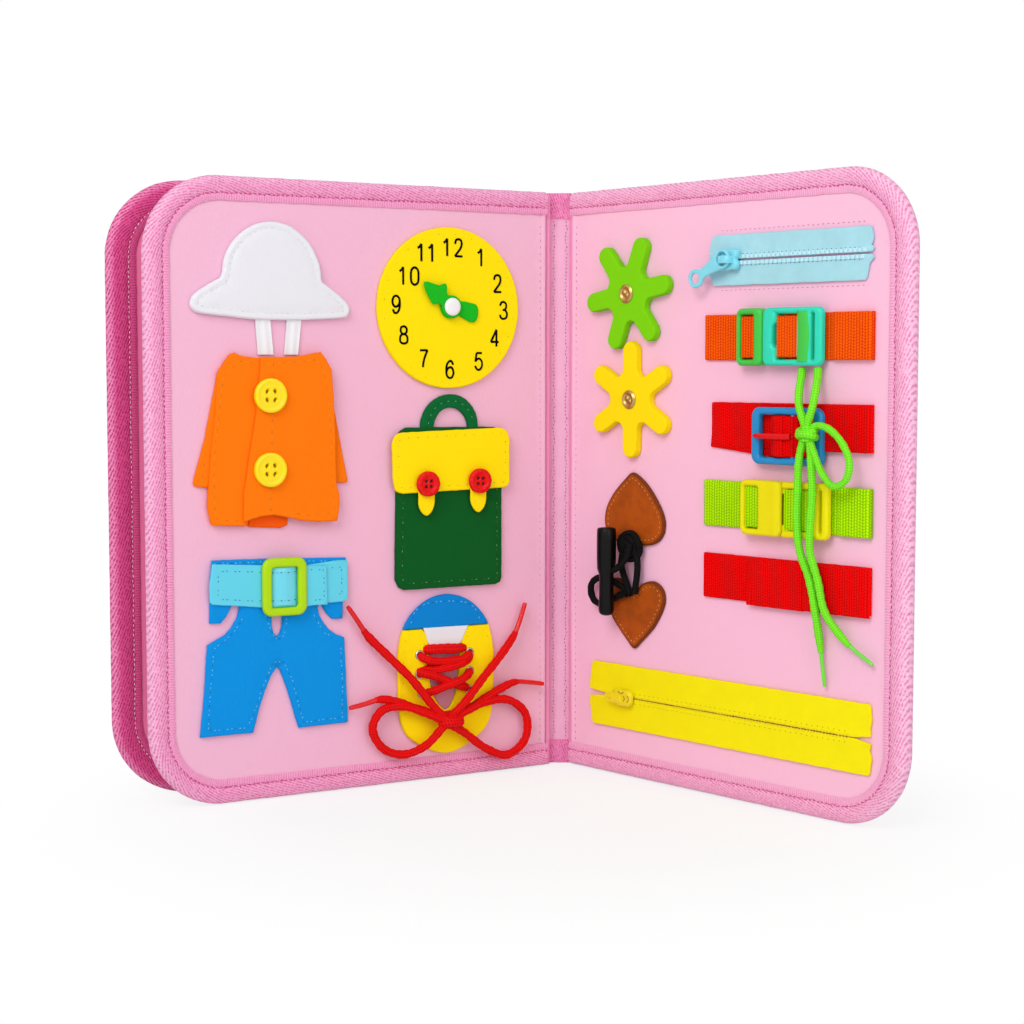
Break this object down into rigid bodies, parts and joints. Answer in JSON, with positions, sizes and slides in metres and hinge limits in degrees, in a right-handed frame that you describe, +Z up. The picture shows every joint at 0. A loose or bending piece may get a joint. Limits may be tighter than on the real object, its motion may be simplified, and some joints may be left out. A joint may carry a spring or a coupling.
{
  "type": "felt activity book",
  "caption": "Felt sensory book that stands open, with a padded spine, stiff bound leaves, clothes, clock, bag and shoe, and zips, straps, buckles, turning stars, toggle and laces.",
  "frame": {"origin": "the middle of the spine's flat foot, on the table", "axes": "+Z up the spine, -Y towards the reader of the open book, +X to the reader's right"},
  "size_m": [0.367, 0.1558, 0.28],
  "materials": {
    "pink_tape": "twill tape, folded and stitched",
    "board": "plain fibre board, out of sight",
    "pink_felt": "soft felt",
    "white_felt": "soft felt",
    "orange_felt": "soft felt",
    "blue_felt": "soft felt",
    "sky_felt": "smooth coated felt",
    "yellow_felt": "soft felt",
    "green_felt": "soft felt",
    "green_foam": "thick stiff felt",
    "yellow_foam": "thick stiff felt",
    "yellow_plastic": "glossy moulded plastic",
    "red_plastic": "glossy moulded plastic",
    "lime_plastic": "glossy moulded plastic",
    "green_plastic": "glossy moulded plastic",
    "turquoise_plastic": "glossy moulded plastic",
    "blue_plastic": "glossy moulded plastic",
    "sky_plastic": "satin coated zip metal",
    "white_plastic": "glossy moulded plastic",
    "black_plastic": "glossy moulded plastic",
    "sky_zip": "woven zip tape",
    "yellow_zip": "woven zip tape",
    "orange_webbing": "woven webbing",
    "red_webbing": "woven webbing",
    "lime_webbing": "woven webbing",
    "brown_leather": "smooth leather",
    "black_cord": "braided cord",
    "red_lace": "braided lace",
    "green_lace": "braided lace",
    "stud_metal": "plated press stud"
  },
  "bodies": {
    "spine": {"spine_panel": "pink_tape"},
    "front_cover": {"front_cover_board": "board", "front_cover_felt": "pink_felt", "front_cover_binding": "pink_tape"},
    "middle_leaf": {"middle_leaf_board": "board", "middle_leaf_felt": "pink_felt", "middle_leaf_binding": "pink_tape", "hat": "white_felt", "hat_ribbon": "white_felt", "coat_back": "orange_felt", "trousers": "blue_felt", "trouser_belt": "sky_felt", "belt_buckle": "lime_plastic", "clock_face": "yellow_felt", "clock_pin": "white_plastic", "bag_body": "green_felt", "shoe_upper": "yellow_felt", "shoe_collar": "blue_felt", "shoe_tongue": "white_felt", "red_lace_crossing": "red_lace", "red_lace_bow": "red_lace"},
    "back_cover": {"back_cover_board": "board", "back_cover_felt": "pink_felt", "back_cover_binding": "pink_tape", "green_star_stud": "stud_metal", "yellow_star_stud": "stud_metal", "blue_zip_tapes": "sky_zip", "orange_strap_left": "orange_webbing", "orange_strap_right": "orange_webbing", "orange_buckle_socket": "green_plastic", "red_strap": "red_webbing", "blue_buckle_frame": "blue_plastic", "lime_strap_left": "lime_webbing", "lime_strap_right": "lime_webbing", "lime_buckle_socket": "yellow_plastic", "grip_strap_base": "red_webbing", "leather_patch_upper": "brown_leather", "leather_patch_lower": "brown_leather", "toggle_cord": "black_cord", "yellow_zip_tapes": "yellow_zip", "green_lace": "green_lace"},
    "coat_front": {"coat_flap": "orange_felt", "coat_button_upper": "yellow_plastic", "coat_button_lower": "yellow_plastic"},
    "belt_end": {"belt_tongue": "sky_felt"},
    "hour_hand": {"clock_hour_hand": "green_foam"},
    "minute_hand": {"clock_minute_hand": "green_foam"},
    "bag_front": {"bag_flap": "yellow_felt", "bag_button_left": "red_plastic", "bag_button_right": "red_plastic"},
    "green_star_wheel": {"green_star": "green_foam"},
    "yellow_star_wheel": {"yellow_star": "yellow_foam"},
    "blue_slider": {"blue_zip_slider": "sky_plastic"},
    "blue_pull": {"blue_zip_pull": "sky_plastic"},
    "yellow_slider": {"yellow_zip_slider": "yellow_plastic"},
    "orange_plug": {"orange_buckle_plug": "turquoise_plastic"},
    "lime_plug": {"lime_buckle_plug": "yellow_plastic"},
    "prong": {"red_buckle_prong": "red_plastic"},
    "grip_flap": {"grip_strap_flap": "red_webbing"},
    "toggle": {"toggle_bar": "black_plastic"}
  },
  "joints": [
    {"name": "front_cover_hinge", "type": "hinge", "parent": "spine", "child": "front_cover", "pos_m": [-0.0125, -0.003, 0.14], "axis": [0, 0, 1], "range_deg": [-55, 1]},
    {"name": "middle_leaf_hinge", "type": "hinge", "parent": "spine", "child": "middle_leaf", "pos_m": [0, -0.0067, 0.14], "axis": [0, 0, 1], "range_deg": [-2, 60]},
    {"name": "back_cover_hinge", "type": "hinge", "parent": "spine", "child": "back_cover", "pos_m": [0.0125, -0.003, 0.14], "axis": [0, 0, 1], "range_deg": [-44, 70]},
    {"name": "coat_flap_fold", "type": "hinge", "parent": "middle_leaf", "child": "coat_front", "pos_m": [-0.09191, -0.07957, 0.1642], "axis": [0, 0, 1], "range_deg": [0, 125]},
    {"name": "belt_tongue_fold", "type": "hinge", "parent": "middle_leaf", "child": "belt_end", "pos_m": [-0.10434, -0.08775, 0.0986], "axis": [0, 0, -1], "range_deg": [0, 90]},
    {"name": "hour_hand_turn", "type": "hinge", "parent": "middle_leaf", "child": "hour_hand", "pos_m": [-0.04372, -0.0439, 0.2245], "axis": [0.5664, -0.8241, 0], "continuous": true},
    {"name": "minute_hand_turn", "type": "hinge", "parent": "middle_leaf", "child": "minute_hand", "pos_m": [-0.04298, -0.04498, 0.2245], "axis": [0.5664, -0.8241, 0], "continuous": true},
    {"name": "bag_flap_fold", "type": "hinge", "parent": "middle_leaf", "child": "bag_front", "pos_m": [-0.04188, -0.0464, 0.1659], "axis": [-0.8241, -0.5664, 0], "range_deg": [0, 140]},
    {"name": "green_star_turn", "type": "hinge", "parent": "back_cover", "child": "green_star_wheel", "pos_m": [0.04157, -0.03662, 0.2306], "axis": [-0.7009, -0.7133, 0], "continuous": true},
    {"name": "yellow_star_turn", "type": "hinge", "parent": "back_cover", "child": "yellow_star_wheel", "pos_m": [0.04307, -0.03809, 0.181], "axis": [-0.7009, -0.7133, 0], "continuous": true},
    {"name": "blue_zip_run", "type": "slide", "parent": "back_cover", "child": "blue_slider", "axis": [0.7133, -0.7009, 0], "range_m": [-0.004, 0.066]},
    {"name": "blue_pull_swing", "type": "hinge", "parent": "blue_slider", "child": "blue_pull", "pos_m": [0.08131, -0.08521, 0.2442], "axis": [-0.7009, -0.7133, 0], "range_deg": [-50, 60]},
    {"name": "yellow_zip_run", "type": "slide", "parent": "back_cover", "child": "yellow_slider", "axis": [0.7133, -0.7009, 0], "range_m": [-0.006, 0.124]},
    {"name": "orange_plug_release", "type": "slide", "parent": "back_cover", "child": "orange_plug", "axis": [0.7133, -0.7009, 0], "range_m": [0, 0.014]},
    {"name": "lime_plug_release", "type": "slide", "parent": "back_cover", "child": "lime_plug", "axis": [0.7133, -0.7009, 0], "range_m": [0, 0.014]},
    {"name": "prong_swing", "type": "hinge", "parent": "back_cover", "child": "prong", "pos_m": [0.11209, -0.11138, 0.1704], "axis": [0, 0, 1], "range_deg": [0, 100]},
    {"name": "grip_flap_peel", "type": "hinge", "parent": "back_cover", "child": "grip_flap", "pos_m": [0.11622, -0.11432, 0.102], "axis": [0, 0, 1], "range_deg": [0, 110]},
    {"name": "toggle_swing", "type": "hinge", "parent": "back_cover", "child": "toggle", "pos_m": [0.04138, -0.04638, 0.115], "axis": [-0.7009, -0.7133, 0], "range_deg": [-50, 60]}
  ],
  "couplings": [
    {"joint": "yellow_star_turn", "follows": "green_star_turn", "ratio": -1}
  ]
}
